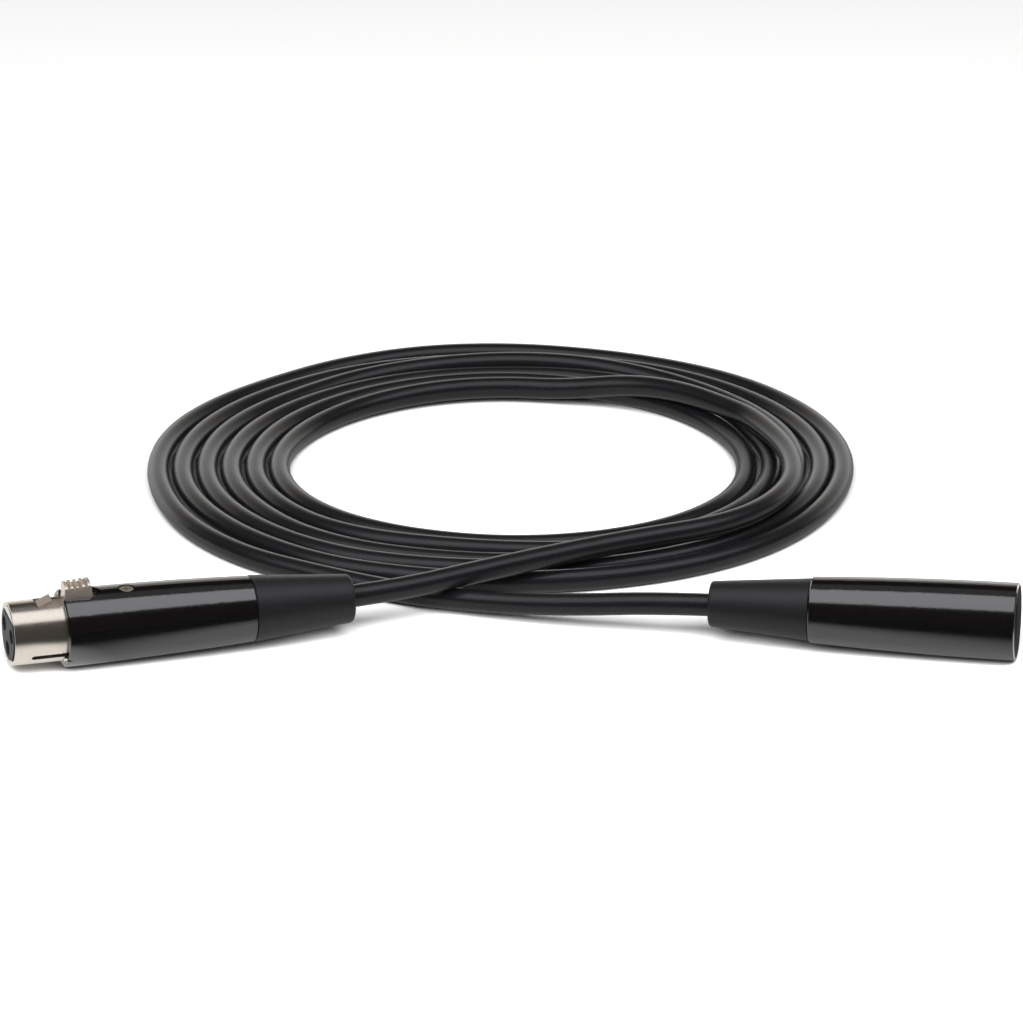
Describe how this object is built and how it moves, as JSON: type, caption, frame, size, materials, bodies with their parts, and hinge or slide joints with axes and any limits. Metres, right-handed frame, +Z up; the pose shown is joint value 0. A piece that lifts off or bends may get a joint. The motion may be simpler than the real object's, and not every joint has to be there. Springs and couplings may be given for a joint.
{
  "type": "xlr cable coil",
  "caption": "Balanced audio cable coiled flat, with a latching female connector on one end and a male connector on the other.",
  "frame": {"origin": "on the surface the cable lies on, under the middle of the box round the two connectors", "axes": "+X from the female connector towards the male one, +Y away from the connectors towards the coil, +Z up"},
  "size_m": [0.2514, 0.2423, 0.0224],
  "materials": {
    "cable": "satin black PVC jacket",
    "shell_black": "gloss black coating",
    "boot_rubber": "matt black rubber",
    "nickel": "satin nickel plate",
    "screw_nickel": "nickel plate, recessed drive",
    "steel": "plain",
    "insulator": "dark grey glass-filled nylon",
    "brass": "tin-plated",
    "contact": "silver-plated contact",
    "clamp": "zinc plate",
    "wire_white": "core insulation",
    "wire_red": "core insulation",
    "wire_black": "core insulation"
  },
  "bodies": {
    "cable": {"cable_coil": "cable", "cable_lead_female": "cable", "cable_lead_male": "cable", "female_boot": "boot_rubber", "female_clamp_base": "clamp", "female_clamp_bridge": "clamp", "female_clamp_screws": "steel", "female_ground_tab": "brass", "female_insulator": "insulator", "female_nose_sleeve": "nickel", "female_set_screw": "screw_nickel", "female_shell": "shell_black", "female_socket_1": "contact", "female_socket_2": "contact", "female_socket_3": "contact", "female_wire_1": "wire_white", "female_wire_2": "wire_red", "female_wire_3": "wire_black", "latch_pivot_pin": "steel", "latch_spring": "steel", "male_boot": "boot_rubber", "male_clamp_base": "clamp", "male_clamp_bridge": "clamp", "male_clamp_screws": "steel", "male_ground_tab": "brass", "male_insulator": "insulator", "male_pin_1": "contact", "male_pin_2": "contact", "male_pin_3": "contact", "male_set_screw": "screw_nickel", "male_shell": "shell_black", "male_wire_1": "wire_white", "male_wire_2": "wire_red", "male_wire_3": "wire_black"},
    "latch": {"latch_lever": "nickel", "latch_button": "nickel"}
  },
  "joints": [
    {"name": "latch_press", "type": "hinge", "parent": "cable", "child": "latch", "pos_m": [-0.09784, -0.00444, 0.01616], "axis": [0.2805, -0.9531, -0.1132], "range_deg": [0, 5], "stiffness_Nm_per_rad": 0.2, "springref_deg": -1.15, "deforming": ["latch_spring"]}
  ]
}
